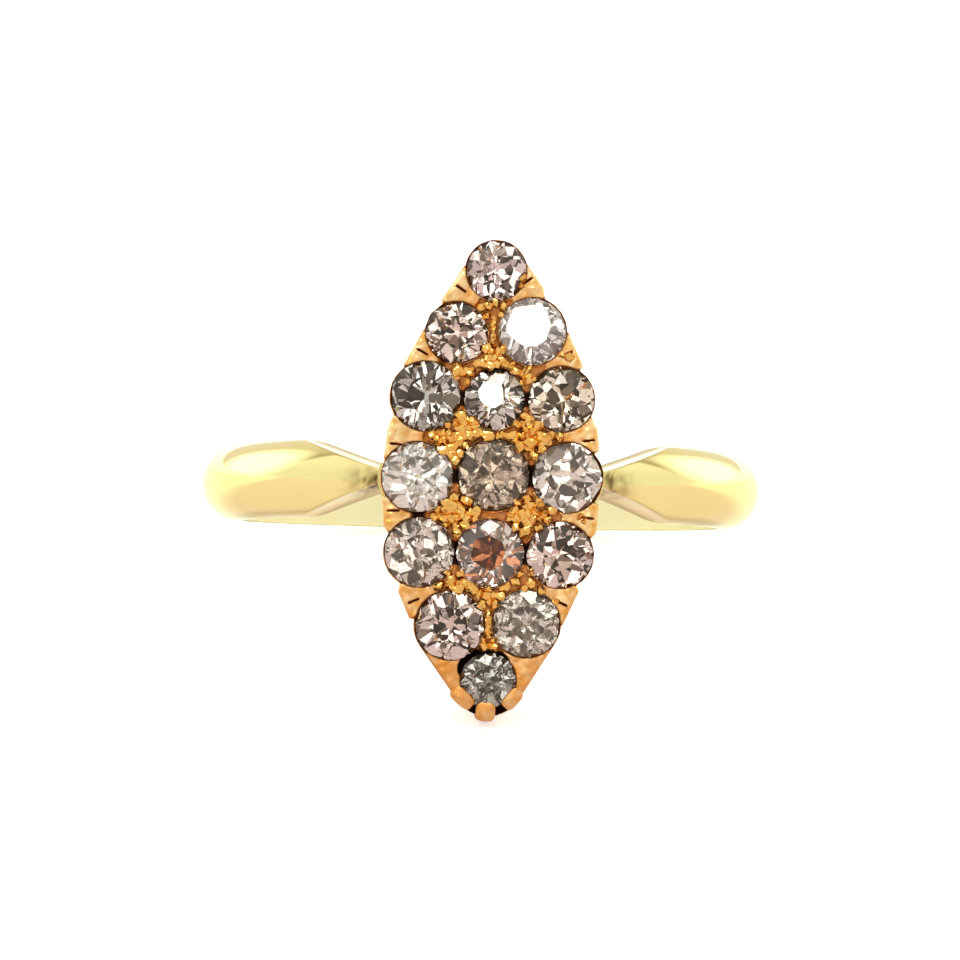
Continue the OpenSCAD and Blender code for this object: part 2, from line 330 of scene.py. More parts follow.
# The share of dirt and painted shade turns the colour towards tarnish, and further on near black
light_grime_and_shade = add_range(worn_and_shaded_gold, (shaded_gold_in, "Grime"), 0.0, tarnish_and_shade_full)
tarnished = add_mix(worn_and_shaded_gold, light_grime_and_shade, tone, (shaded_gold_in, "Tarnish"))
deep_grime_and_shade = add_range(worn_and_shaded_gold, (shaded_gold_in, "Grime"), black_from, 1.0)
blackened = add_mix(worn_and_shaded_gold, deep_grime_and_shade, tarnished, black_of_grime_and_shade)
rubbed = add_math(worn_and_shaded_gold, "ADD", rubs, 0.5)
dull = add_math(worn_and_shaded_gold, "MULTIPLY", rubbed, (shaded_gold_in, "Polish"))
duller = add_math(worn_and_shaded_gold, "MULTIPLY_ADD", (shaded_gold_in, "Grime"), grime_and_shade_dulls, dull)
feed(shaded_gold_out, {"Colour": blackened, "Roughness": duller, "Height": patches})


def gold(name, colour, warm, tarnish_and_shade, patch_size, polish, unevenness):
    """Polished gold with its own colour, and a surface that is uneven by that depth in metres."""
    material, tree, shader = new_material(name)
    # Each point's share of dirt and painted shade darkens and dulls the gold
    grime_and_shade = add_node(tree, "ShaderNodeAttribute", {}, attribute_name="grime_and_shade")
    worn_and_shaded = add_node(
        tree, "ShaderNodeGroup",
        {"Colour": (*colour, 1), "Warm colour": (*warm, 1), "Tarnish": (*tarnish_and_shade, 1),
         "Patch size": patch_size, "Polish": polish, "Grime": (grime_and_shade, "Fac")},
        node_tree=worn_and_shaded_gold,
    )
    bump = add_node(
        tree, "ShaderNodeBump",
        {"Height": (worn_and_shaded, "Height"), "Distance": unevenness, "Strength": 1.0},
    )
    feed(shader, {
        "Metallic": 1.0, "Base Color": (worn_and_shaded, "Colour"), "Roughness": (worn_and_shaded, "Roughness"),
        "Normal": bump,
    })
    return material


olive = (0.42, 0.33, 0.12)
band_gold = gold("pale_gold", (0.93, 0.84, 0.38), (0.91, 0.79, 0.34), olive, 350.0, 0.07, 0.00001)
# The inside is rubbed dull, and its gold is painted paler than the band's, as painted light that
# brightens it
inside_paler_gold = gold(
    "rubbed_paler_gold", (0.94, 0.90, 0.62), (0.90, 0.86, 0.56), olive, 500.0, 0.45, 0.00001,
)

turns = spread(math.pi / 2, last_turn, plain_sections)
sections = [wire_section(lambda u: turn) for turn in turns]
sections += [sloping_section(i / end_sections) for i in range(end_sections + 1)]
one_side = [half + [(x, y, -z) for x, y, z in reversed(half[1:-1])] for half in sections]
other_side = [[(-x, y, z) for x, y, z in ring] for ring in one_side[:0:-1]]
band_mesh = clean_mesh("band", *stitch(other_side + one_side), from_ring)
band = show("band", band_mesh, band_gold, 60)
band_mesh.materials.append(inside_paler_gold)

# How dark the painted lines at the edges and creases are, which stand in for reflections, how dark
# the painted shade in the corner at the head is, and how far each reaches
edge_painted_line = 0.4
edge_line_w = 0.09
far_edge_w = 0.3
edge_fade = 1.6
crease_painted_line = 0.24
filed_blend = 0.4
corner_painted_shade = 0.85
corner_drop = 0.2
corner_x_band = (3.7, 5.4)
corner_z_band = (0.2, 0.75)
corner_out_band = (0.3, 0.8)
corner_cover = 0.7
corner_mottle = 0.9
mottle_scale = 4


def band_painted_lines_and_shade(p):
    """Painted dark lines in the edges, standing in for reflections, and painted shade in the corner
    between shoulder and head.
    """
    out = math.hypot(p.x, p.y + wire_shift) - wire_bend_r
    over = dressed_height(p.x, p.y) - math.sqrt(max(wire_r**2 - out**2, 0))
    filed = 1 - step_up(abs(p.x), filed_x - filed_blend, filed_x + filed_blend) if p.y < 0 else 0
    crease = crease_painted_line * filed * (1 - step_up(abs(over), hair, edge_line_w))
    at_bore = p.xy.length - bore_r
    edge_w = edge_line_w + (far_edge_w - edge_line_w) * filed
    edge = edge_painted_line * (1 - step_up(at_bore, edge_w, edge_fade * edge_w)) * (at_bore > hair)
    corner = corner_painted_shade * filed * (1 - step_up(abs(p.x), *corner_x_band))
    corner *= 1 - step_up(abs(p.z + corner_drop), *corner_z_band)
    corner *= step_up(at_bore, *corner_out_band)
    corner *= corner_cover + corner_mottle * noise.noise(p * mottle_scale)
    return max(crease, edge, corner)


mark_grime_and_shade(band_mesh, from_ring, band_painted_lines_and_shade)
into_ring = from_ring.inverted()
# The faces of the inside get that rubbed gold, painted paler as painted light
for face in band_mesh.polygons:
    ends = [into_ring @ band_mesh.vertices[i].co for i in face.vertices]
    if all(end.xy.length < bore_r + hair for end in ends):
        face.material_index = 1
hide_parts("gold_mount")
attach(band, "root")


# The head's under side: a low gold wall soldered under the setting plate, set back from its edge,
# and a short collar at each end of the middle row, to which the shoulder is soldered.

head_h = 11.4
head_drop = 0.14
plate_t = 1.15
from_head = (
    from_ring @ Matrix.Translation((0, -head_h, -head_drop)) @ Matrix.Rotation(math.pi / 2, 4, "X")
)
rim_w = 0.08
tip_rim_w = 0.32
corner_inset = 0.06
wrap_short = 0.08
wrap_limit = 0.57
outline_step = math.radians(4)

# The outer stones in order, and where the plate's corner after each one starts and ends
edge_row = [
    ("row1", 0.20, 0.74),
    ("row2_left", 0.20, 0.75),
    ("row3_left", 0.45, 0.80),
    ("row4_left", 0.25, 0.62),
    ("row5_left", 0.36, 0.72),
    ("row6_left", 0, 1),
    ("row7", 0, 1),
    ("row6_right", 0.20, 0.68),
    ("row5_right", 0.33, 0.70),
    ("row4_right", 0.30, 0.58),
    ("row3_right", 0.30, 0.78),
    ("row2_right", 0.42, 0.85),
]
stone_names = [n[len("diamond_"):] for n in frame["nodes"] if n.startswith("diamond_")]


def measure_stone(name):
    """A stone's middle in the plate, its radius and its turn, from its node, in millimetres."""
    into_head = from_head.inverted()
    points = [into_head @ v.co for v in frame["nodes"]["diamond_" + name].data.vertices]
    xs, ys = [p.x for p in points], [p.y for p in points]
    middle = Vector(((min(xs) + max(xs)) / 2, (min(ys) + max(ys)) / 2))
    top = max(points, key=lambda p: p.z)
    turn = math.atan2(top.y - middle.y, top.x - middle.x)
    return middle, max((p.xy - middle).length for p in points), turn


stones = {name: measure_stone(name) for name in stone_names}


def seat_distances(p):
    """How far a point of the plate lies from the edge of each stone."""
    return [(p - m).length - r for m, r, _ in stones.values()]


def heading(angle):
    """The way that an angle points in the plate."""
    return Vector((math.cos(angle), math.sin(angle)))


def edge_stone(k, grow):
    """The middle of the k-th outer stone, and the radius of the metal round it."""
    name = edge_row[k % len(edge_row)][0]
    middle, r, _ = stones[name]
    return middle, r + (tip_rim_w if name == "row7" else rim_w) + grow


def edge_heading(k, grow):
    """Outward direction of the straight edge between outer stones k and k + 1."""
    (a, ra), (b, rb) = edge_stone(k, grow), edge_stone(k + 1, grow)
    way = b - a
    return math.atan2(way.y, way.x) - math.acos((ra - rb) / way.length)


def edge_ends(k, grow):
    """The two ends of that straight edge."""
    (a, ra), (b, rb) = edge_stone(k, grow), edge_stone(k + 1, grow)
    out = heading(edge_heading(k, grow))
    return a + out * ra, b + out * rb


def wrap(k, r, share):
    """How much further the metal follows a stone of radius r before the corner starts."""
    start, end = edge_ends(k, 0)
    return math.asin(min(wrap_limit, max(0, share * (end - start).length - wrap_short) / r))


def plate_outline(grow, cornered, step=outline_step):
    """The plate's outline moved out by grow, with its corners or without them."""
    points = []
    for k, (_, corner_from, corner_to) in enumerate(edge_row):
        middle, r = edge_stone(k, grow)
        start, end = edge_heading(k - 1, grow), edge_heading(k, grow)
        steps = math.ceil(((edge_heading(k, 0) - edge_heading(k - 1, 0)) % math.tau) / step)
        if cornered:
            start -= wrap(k - 1, r, 1 - edge_row[k - 1][2])
            end += wrap(k, r, corner_from)
        turn = (end - start) % math.tau
        points += [middle + heading(start + turn * i / steps) * r for i in range(steps + 1)]
        if cornered and corner_from > 0:
            a, b = edge_ends(k, 0)
            inward = heading(edge_heading(k, 0)) * corner_inset
            points += [a.lerp(b, share) - inward for share in (corner_from, corner_to)]
    return points


gallery_h = 9.1
gallery_inset = 0.25
gallery_t = 0.45
gallery_round = 0.06
gallery_bevel = 0.3 * gallery_round
gallery_low = gallery_h - head_h

wall_half = [
    (0, -plate_t),
    (0, gallery_low + gallery_round),
    (gallery_bevel, gallery_low + gallery_bevel),
    (gallery_round, gallery_low),
]
wall_profile = [(gallery_inset + x, z) for x, z in wall_half]
wall_profile += [(gallery_inset + gallery_t - x, z) for x, z in reversed(wall_half)]
wall_rings = [[(*p, z) for p in plate_outline(-inset, False)] for inset, z in wall_profile]
gallery_mesh = clean_mesh("gallery", *stitch(wall_rings, endless=True), from_head)
gallery = show("gallery", gallery_mesh, band_gold)
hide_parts("gold_mount")
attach(gallery, "root")

collar_w = 1.4
collar_drop = 0.3
collar_out = 0.15
collar_round = 0.05
collar_back = 0.02
collar_steps = 24

# The collar's levels: how far its outline is drawn in, and the share of its depth
collar_levels = [(0, 0), (0, 0.9), (collar_round, 1)]


def collar(name):
    """The short curved wall beside an end stone, from the plate's back to the finger hole."""
    middle, r, _ = stones[name]
    side = math.copysign(1, middle.x)
    centre_y = head_drop - collar_drop
    rings = []
    for inset, depth in collar_levels:
        arc = []
        for i in range(collar_steps + 1):
            y = centre_y + (collar_w / 2 - inset) * (2 * i / collar_steps - 1)
            x = abs(middle.x) + math.sqrt((r + collar_out - inset)**2 - (y - middle.y)**2)
            arc.append((x, y))
        ring = []
        for x, y in arc + [(shoulder_end + collar_back, y) for _, y in reversed(arc)]:
            low = math.sqrt(bore_r**2 - x**2) - head_h
            ring.append((side * x, y, -plate_t + (low + plate_t) * depth))
        rings.append(ring)
    mesh = clean_mesh(name, *stitch(rings), from_head)
    piece = show("collar_" + name[len("row4_"):], mesh, band_gold)
    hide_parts("gold_mount")
    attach(piece, "root")


collar("row4_left")
collar("row4_right")


# The setting plate: a thick gold plate that takes the fifteen stones. A seat is cut for each stone,
# with a hole through to the back. Between the seats the metal is carved into small islands, and
# each corner of the edge has one cut. The gold is deeper in colour than the band's.

red_brown = (0.52, 0.17, 0.03)
plate_gold = gold(
    "deep_gold", (1.00, 0.75, 0.39), (0.86, 0.44, 0.11), red_brown, 2400.0, 0.3, 0.00002,
)

girdle_depth = 0.1
girdle_t = 0.05
stone_reach = 0.03
seat_gap = stone_reach + 0.012
seat_sides = 96
seat_wall = 0.12
hole_share = 0.5
rim_side = 0.25

# The grid of points over the front, and how finely its edge is followed
front_grid = 0.042
row_share = 0.866
grid_inset = 0.02
edge_spacing = 0.02
edge_step = math.radians(3)

# Each island by the stones round it, and the grains' radius there
islands = [
    ("row1 row2_left row2_right", 0.14),
    ("row2_left row2_right row3_middle", 0.14),
    ("row2_left row3_left row3_middle", 0.12),
    ("row2_right row3_middle row3_right", 0.12),
    ("row3_left row3_middle row4_left row4_middle", 0.17),
    ("row3_middle row3_right row4_middle row4_right", 0.17),
    ("row4_left row4_middle row5_left row5_middle", 0.17),
    ("row4_middle row4_right row5_middle row5_right", 0.17),
    ("row5_left row5_middle row6_left", 0.12),
    ("row5_middle row5_right row6_right", 0.12),
    ("row5_middle row6_left row6_right", 0.14),
    ("row6_left row6_right row7", 0.12),
]

# Open recesses beside a stone: the angles they run between, their width and their depth
recesses = [
    ("row7", 100, 172, 0.27, 0.6),
    ("row7", 40, 108, 0.15, 0.5),
    ("row7", -140, -104, 0.60, 0.6),
    ("row7", -84, -44, 0.60, 0.6),
    ("row3_middle", 44, 128, 0.10, 0.25),
]

# How deep each part of the relief lies, and how dark it is made; on the islands' floor, in the
# recesses and towards the tip that darkness is painted shade
rim_fall, rim_darkening = 0.16, 0.8
seat_fall, seat_darkening = 0.06, 0.75
floor_fall, floor_painted_shade = 0.1, 0.5
corner_fall, corner_tarnish = 0.05, 0.22
cut_fall, cut_darkening = 0.16, 1.5
edge_fall = 0.08
recess_painted_shade = 1.2
tip_painted_shade = 0.34

# Over which distances each part comes in, in millimetres, and for a recess as a share of its size
rim_band = (0.09, 0.18)
narrow_band = (0.22, 0.286)
seat_band = (0.021, 0.07)
island_band = (0.07, 0.112)
floor_band = (0, 0.12)
corner_band = (-0.85, -0.45)
tip_band = (-6.0, -1.6)
recess_band = (0.85, 1.05)
edge_fall_w = 0.1
cut_half_w = 0.045
cut_from, cut_to = 0.23, 0.58
carving = 0.018
carving_scale = 5


def pairs(line):
    """Each point of a closed line with the next one."""
    return list(zip(line, line[1:] + line[:1]))


def segment_distance(p, a, b):
    """How far p lies from the straight line between a and b."""
    way = b - a
    share = max(0, min(1, (p - a).dot(way) / way.length_squared))
    return (p - a - way * share).length


outer_lines = pairs([stones[name][0] for name, _, _ in edge_row])


def inside_ring(p):
    """How far a point lies inside the lines from each outer stone's middle to the next."""
    distance = min(segment_distance(p, a, b) for a, b in outer_lines)
    within = False
    for a, b in outer_lines:
        if (a.y > p.y) != (b.y > p.y) and p.x < a.x + (b.x - a.x) * (p.y - a.y) / (b.y - a.y):
            within = not within
    return distance if within else -distance


edge_line = plate_outline(0, True, edge_step)

# The engraved cut on each corner, from near the edge inwards
plate_cuts = []
for k, (_, corner_from, corner_to) in enumerate(edge_row):
    if corner_from > 0:
        a, b = edge_ends(k, 0)
        out = heading(edge_heading(k, 0))
        foot = a.lerp(b, (corner_from + corner_to) / 2)
        plate_cuts.append((foot - out * cut_from, foot - out * cut_to))


def front_relief(p, edge_distance):
    """The height of the carved front at a point of the plate, and how dark it is made there, partly
    with painted shade.
    """
    seat_distance, next_seat = sorted(seat_distances(p))[:2]
    rim = 1 - step_up(edge_distance + seat_distance, *rim_band)
    narrow = 1 - step_up(seat_distance + next_seat, *narrow_band)
    rounded = max(0, 1 - edge_distance / edge_fall_w)
    at_seat = 1 - step_up(seat_distance, *seat_band)
    inner = step_up(inside_ring(p), *floor_band) * step_up(seat_distance, *island_band)
    in_corner = step_up(inside_ring(p), *corner_band)
    # Towards the tip the front is painted darker, as painted shade
    at_tip = 1 - step_up(p.y, *tip_band)
    height = -edge_fall * rounded**2 - rim_fall * rim - seat_fall * at_seat
    height -= floor_fall * max(inner, narrow)
    height -= corner_fall * in_corner
    grime_and_shade = max(
        rim_darkening * rim, seat_darkening * at_seat, floor_painted_shade * inner, narrow,
        corner_tarnish * in_corner, tip_painted_shade * at_tip,
    )
    for a, b in plate_cuts:
        cut = 1 - segment_distance(p, a, b) / cut_half_w
        if cut > 0:
            height -= cut_fall * cut
            grime_and_shade = max(grime_and_shade, cut_darkening * cut)
    # Each open recess is painted near black, as painted shade
    for name, start, end, width, depth in recesses:
        m, r, _ = stones[name]
        around = p - m
        turn = math.degrees(math.atan2(around.y, around.x))
        reach = (around.length - r) / width
        across = 2 * abs(turn - (start + end) / 2) / (end - start)
        inside = 1 - step_up(math.hypot(max(reach, 0), across), *recess_band)
        height = min(height, -depth * inside)
        grime_and_shade = max(grime_and_shade, recess_painted_shade * inside)
    height += carving * noise.noise(Vector((p.x * carving_scale, p.y * carving_scale, 0)))
    return height, min(1, grime_and_shade)


def fill_between(outer, inners, grid_points):
    """Triangles inside the outer line and outside the inner ones."""
    points, lines = [], []
    for line in [outer] + inners:
        lines.append(list(range(len(points), len(points) + len(line))))
        points += line
    verts, _, faces, _, _, face_from = delaunay_2d_cdt(
        points + grid_points, [], lines, 0, 1e-6, True
    )
    kept = [f for f, source in zip(faces, face_from) if 0 in source and len(source) == 1]
    return verts, kept


def border_loops(faces):
    """The closed lines round the holes and the outside of a patch of triangles."""
    ways = dict.fromkeys(way for f in faces for way in pairs(f))
    after = {a: b for a, b in ways if (b, a) not in ways}
    loops = []
    while after:
        start, here = after.popitem()
        loop = [start]
        while here != start:
            loop.append(here)
            here = after.pop(here)
        loops.append(loop)
    return loops


edge_samples = []
for a, b in pairs(edge_line):
    steps = max(1, math.ceil((b - a).length / edge_spacing))
    outward = Vector((b.y - a.y, a.x - b.x)).normalized()
    edge_samples += [(a.lerp(b, i / steps), outward) for i in range(steps)]
edge_tree = kdtree.KDTree(len(edge_samples))
for i, (p, _) in enumerate(edge_samples):
    edge_tree.insert((p.x, p.y, 0), i)
edge_tree.balance()


def inside_edge(p):
    """How far a point lies inside the plate's edge; negative outside it."""
    near, i, distance = edge_tree.find((p.x, p.y, 0))
    return math.copysign(distance, -(p - near.xy).dot(edge_samples[i][1]))


def staggered(spacing, w, h):
    """Points over the head in rows, each row half a step aside of the one before."""
    for row in range(math.ceil(h / (spacing * row_share))):
        for column in range(math.ceil(w / spacing)):
            x = (column + row % 2 / 2) * spacing - w / 2
            yield Vector((x, row * spacing * row_share - h / 2))


grid = [p for p in plate_outline(-grid_inset, True, edge_step) if inside_edge(p) > hair]
margin = 0.3 * front_grid
for p in staggered(front_grid, 8, 18):
    if min(seat_distances(p)) > seat_gap + margin and inside_edge(p) > grid_inset + margin:
        grid.append(p)
seat_lines = [
    [m + heading(math.tau * i / seat_sides) * (r + seat_gap) for i in range(seat_sides)]
    for m, r, _ in stones.values()
]
flat_front, front_faces = fill_between(edge_line, seat_lines, grid)
plate_points = [(*p, front_relief(p, max(0, inside_edge(p)))[0]) for p in flat_front]
plate_faces = list(front_faces)

# The wall of each seat and its hole, and the plate's side, down to the flat back
seat_low = -girdle_depth - girdle_t - seat_gap - seat_wall
back_outer, back_holes = [], []
for loop in border_loops(front_faces):
    line = [flat_front[i] for i in loop]
    seat = [
        (m, r) for m, r, _ in stones.values()
        if sum(abs((p - m).length - r - seat_gap) < 0.1 * hair for p in line) > len(line) / 2
    ]
    if seat:
        m, r = seat[0]
        hole_top = seat_low - (1 - hole_share) * r
        ways = [(1, seat_low), (hole_share, hole_top), (hole_share, -plate_t)]
        rings = [[(*(m + (p - m) * share), z) for p in line] for share, z in ways]
    else:
        rings = [[(*p, z) for p in line] for z in (-rim_side, -plate_t)]
    above = loop
    for ring in rings:
        start = len(plate_points)
        plate_points += ring
        below = range(start, len(plate_points))
        for i in range(len(loop)):
            j = (i + 1) % len(loop)
            plate_faces.append((above[i], above[j], below[j], below[i]))
        above = below
    back_line = [Vector(p[:2]) for p in rings[-1]]
    if seat:
        back_holes.append(back_line[::-1])
    else:
        back_outer = back_line
flat_back, back_faces = fill_between(back_outer, back_holes, [])
start = len(plate_points)
plate_points += [(*p, -plate_t) for p in flat_back]
plate_faces += [tuple(start + i for i in reversed(f)) for f in back_faces]


def plate_darkening(p):
    """How dark the front is made, partly with painted shade; the plate's side has none."""
    inside = inside_edge(p.xy)
    if inside < hair and p.z < hair - rim_side:
        return 0.0
    return front_relief(p.xy, max(0, inside))[1]


plate_mesh = clean_mesh("setting_plate", plate_points, plate_faces, from_head, 0.001)
mark_grime_and_shade(plate_mesh, from_head, plate_darkening)
plate = show("setting_plate", plate_mesh, plate_gold)
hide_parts("gold_mount")
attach(plate, "root")


# Grains: small lumps of gold raised from the islands with a graver and pushed over the edges of
# the stones. They crowd together and fill each island, a few stand in corners of the edge, and
# a rib of small ones runs between the two stones of a pair.

# The grains are the plate's own metal, painted a deeper amber as painted reflection of light bounced
# between the lumps
grain_deeper_gold = gold(
    "amber_reflection_gold", (0.86, 0.53, 0.16), (0.80, 0.42, 0.09), red_brown, 2500.0, 0.14, 0.00002,
)

# Grains in the corners: the corner's place in the row of cuts, how far in, how far aside, radius
corner_grains = [
    (5, 0.38, 0.00, 0.14), (6, 0.24, 0.14, 0.16), (6, 0.40, 0.00, 0.13), (8, 0.36, 0.00, 0.15),
    (8, 0.20, 0.18, 0.15), (8, 0.20, -0.16, 0.14), (9, 0.38, 0.00, 0.14), (9, 0.22, -0.15, 0.14),
]
corner_grain_z = -0.08

# The ribs between two stones, made as a row of small grains
ribs = [("row2_left", "row2_right"), ("row6_left", "row6_right")]
rib_half_length = 0.42
rib_r = 0.085
rib_step = 0.06

# Grains at the stones' edges, and the lumps that fill the room between them
grain_out = 0.09
grain_z = -0.02
lump_gap = 0.25
lump_r = 0.18
lump_z = -0.05
lump_clear = 0.15
crowd_share = 0.75
recess_from = -0.2

# How far a grain may slip aside and up, and how its size may vary, as shares of its radius
grain_slip = 0.25
grain_lift = 0.2
grain_size_band = (0.85, 1.2)
# Painted shade at each grain's foot: how dark, and the heights over which it fades out
grain_foot_shade = 0.9
grain_foot_shade_band = (-0.08, 0.05)


def points_tree(name, inputs):
    """A geometry tree that turns points into golden shapes, with inputs of its own."""
    inputs = [("Geometry", "Geometry"), ("Gold", "Material")] + inputs
    return new_tree(name, "GeometryNodeTree", inputs, [("Geometry", "Geometry")])


def own_value(tree, label):
    """What each point brings with it under that name, as a (node, output)."""
    return add_node(tree, "GeometryNodeInputNamedAttribute", {"Name": label}), "Attribute"


def add_vector_math(tree, operation, *values, **more):
    """A sum of vectors."""
    sources = {**dict(enumerate(values)), **more}
    return add_node(tree, "ShaderNodeVectorMath", sources, operation=operation)


def place_each(tree, tree_in, shape, turn, scale):
    """A shape at each point with its own turn and size, made real."""
    placed = add_node(
        tree, "GeometryNodeInstanceOnPoints",
        {"Points": (tree_in, "Geometry"), "Instance": shape, "Rotation": turn, "Scale": scale},
    )
    return add_node(tree, "GeometryNodeRealizeInstances", {"Geometry": placed})


def finish_tree(tree, tree_in, tree_out, shape):
    """The end of a tree, where the shape gets its gold."""
    sources = {"Geometry": shape, "Material": (tree_in, "Gold")}
    feed(tree_out, {0: add_node(tree, "GeometryNodeSetMaterial", sources)})


def grow(name, points, tree, values, **each):
    """What a geometry tree makes of some points with their own sizes and turns, as a plain mesh."""
    seeds = bpy.data.meshes.new(name + "_points")
    seeds.from_pydata(points, [], [])
    for label, numbers in each.items():
        seeds.attributes.new(label, "FLOAT", "POINT").data.foreach_set("value", numbers)
    grower = new_object(name + "_points", seeds)
    modifier = grower.modifiers.new("grow", "NODES")
    modifier.node_group = tree
    for socket in tree.interface.items_tree:
        if socket.in_out == "INPUT" and socket.name in values:
            modifier[socket.identifier] = values[socket.name]
    ready = grower.evaluated_get(bpy.context.evaluated_depsgraph_get())
    mesh = bpy.data.meshes.new_from_object(ready)
    grower.modifiers.clear()
    bpy.data.objects.remove(grower)
    mesh.name = name
    mesh.transform(from_head)
    return mesh


bead_tree, bead_in, bead_out = points_tree(
    "Beads", [("Flatness", "Float"), ("Unevenness", "Float"), ("Seed", "Int")],
)


def bead_random(low, high):
    """A random vector for each grain."""
    return add_node(
        bead_tree, "FunctionNodeRandomValue", {"Min": low, "Max": high, "Seed": (bead_in, "Seed")},
        data_type="FLOAT_VECTOR",
    )


bead = add_node(bead_tree, "GeometryNodeMeshIcoSphere", {"Radius": 1.0, "Subdivisions": 2})
vary = bead_random((0.8, 0.8, 0.9), (1.3, 1.1, 1.1))
low_bead = add_node(bead_tree, "ShaderNodeCombineXYZ", {0: 1.0, 1: 1.0, 2: (bead_in, "Flatness")})
bead_shape = add_vector_math(bead_tree, "MULTIPLY", vary, low_bead)
bead_size = add_vector_math(bead_tree, "SCALE", bead_shape, Scale=own_value(bead_tree, "size"))
spin = bead_random((0.0, 0.0, 0.0), (0.3, 0.3, 6.28))
real_beads = place_each(bead_tree, bead_in, bead, spin, bead_size)
lumps = add_node(bead_tree, "ShaderNodeTexNoise", {"Scale": 7.0, "Detail": 1.0})
centred = add_vector_math(bead_tree, "SUBTRACT", (lumps, "Color"), (0.5, 0.5, 0.5))
lump_move = add_vector_math(bead_tree, "SCALE", centred, Scale=(bead_in, "Unevenness"))
lumpy = add_node(
    bead_tree, "GeometryNodeSetPosition", {"Geometry": real_beads, "Offset": lump_move},
)
finish_tree(bead_tree, bead_in, bead_out, lumpy)

grain_rng = random.Random(11)
grain_points, grain_sizes = [], []


def add_grain(place, height, r):
    """One grain, a little off the place where the graver was meant to raise it."""
    if front_relief(place, 1)[0] < recess_from:
        return
    slip = Vector((grain_rng.uniform(-1, 1), grain_rng.uniform(-1, 1))) * grain_slip * r
    lift = grain_rng.uniform(-grain_lift, grain_lift) * r
    grain_points.append((*(place + slip), height + lift))
    grain_sizes.append(r * grain_rng.uniform(*grain_size_band))


for corner, inwards, aside, r in corner_grains:
    start, end = plate_cuts[corner]
    inward = (end - start).normalized()
    place = start + inward * inwards + Vector((-inward.y, inward.x)) * aside
    add_grain(place, corner_grain_z, r)
for left, right in ribs:
    way = stones[right][0] - stones[left][0]
    free = way.length - stones[left][1] - stones[right][1]
    centre = stones[left][0] + way.normalized() * (stones[left][1] + free / 2)
    along = Vector((-way.y, way.x)).normalized()
    half_count = int(rib_half_length / rib_step)
    for i in range(-half_count, half_count + 1):
        grain_points.append((*(centre + along * i * rib_step), 0.0))
        grain_sizes.append(rib_r)
for names, r in islands:
    around = [stones[name] for name in names.split()]
    centre = sum((middle for middle, *_ in around), Vector((0, 0))) / len(around)
    for middle, stone_r, _ in around:
        add_grain(middle + (centre - middle).normalized() * (stone_r + grain_out), grain_z, r)
for p in staggered(lump_gap, 7, 16):
    crowded = any((p - Vector(g[:2])).length < crowd_share * lump_gap for g in grain_points)
    if inside_ring(p) > 0 and min(seat_distances(p)) > lump_clear and not crowded:
        add_grain(p, lump_z, lump_r)
grain_mesh = grow(
    "grains", grain_points, bead_tree,
    {"Flatness": 0.85, "Unevenness": 0.26, "Seed": 7, "Gold": grain_deeper_gold},
    size=grain_sizes,
)
# The grains' feet are painted darker, as painted shade
mark_grime_and_shade(grain_mesh, from_head, lambda p: grain_foot_shade * (1 - step_up(p.z, *grain_foot_shade_band)))
grains = show("grains", grain_mesh, grain_deeper_gold, 36)
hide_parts("gold_mount")
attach(grains, "root")


# Claws: three broad gold tongues at the lowest stone, which stands in an open seat at the tip.
# Each is filed from the plate's edge, goes through to its back, and is burnished smooth and round
# where it reaches over the stone.

claw_dome = 0.1
claw_corner = 0.62
claw_levels = 60

# Just over one, so that the dome's last ring keeps some width
dome_full = 1.0001

# Each claw's angle at the stone, its middle's distance, half its length and width, and its turn
claw_places = [
    (-144, 1.05, 0.42, 0.25, -42),
    (-94, 1.07, 0.32, 0.33, -94),
    (-37, 1.03, 0.39, 0.24, -130),
]

claw_tree, claw_in, claw_out = points_tree(
    "Claws", [("Length", "Float"), ("Dome", "Float"), ("Corner", "Float")],
)
claw_foot = add_math(claw_tree, "MULTIPLY", (claw_in, "Length"), -1.0)
claw_start = add_node(claw_tree, "ShaderNodeCombineXYZ", {2: claw_foot})
claw_end = add_node(claw_tree, "ShaderNodeCombineXYZ", {2: (claw_in, "Dome")})
claw_ends = {"Start": claw_start, "End": claw_end}
claw_line = add_node(claw_tree, "GeometryNodeCurvePrimitiveLine", claw_ends)
claw_curve = {"Curve": claw_line, "Count": claw_levels}
claw_steps = add_node(claw_tree, "GeometryNodeResampleCurve", claw_curve)
claw_place = add_node(claw_tree, "GeometryNodeInputPosition", {})
claw_height = (add_node(claw_tree, "ShaderNodeSeparateXYZ", {0: claw_place}), "Z")
dome_share = add_math(claw_tree, "DIVIDE", claw_height, (claw_in, "Dome"), use_clamp=True)
dome_cube = add_math(claw_tree, "POWER", dome_share, 3.0)
dome_width = add_math(claw_tree, "SQRT", add_math(claw_tree, "SUBTRACT", dome_full, dome_cube))
claw_square = add_node(
    claw_tree, "GeometryNodeCurvePrimitiveQuadrilateral", {"Width": 2.0, "Height": 2.0},
)
claw_ring = add_node(
    claw_tree, "GeometryNodeFilletCurve",
    {"Curve": claw_square, "Count": 8, "Radius": (claw_in, "Corner")}, mode="POLY",
)
claw_body = add_node(
    claw_tree, "GeometryNodeCurveToMesh",
    {"Curve": claw_steps, "Profile Curve": claw_ring, "Scale": dome_width, "Fill Caps": True},
)
claw_scale = add_node(
    claw_tree, "ShaderNodeCombineXYZ",
    {0: own_value(claw_tree, "length"), 1: own_value(claw_tree, "width"), 2: 1.0},
)
claw_turned = add_node(claw_tree, "ShaderNodeCombineXYZ", {2: own_value(claw_tree, "turn")})
real_claws = place_each(claw_tree, claw_in, claw_body, claw_turned, claw_scale)
finish_tree(claw_tree, claw_in, claw_out, real_claws)

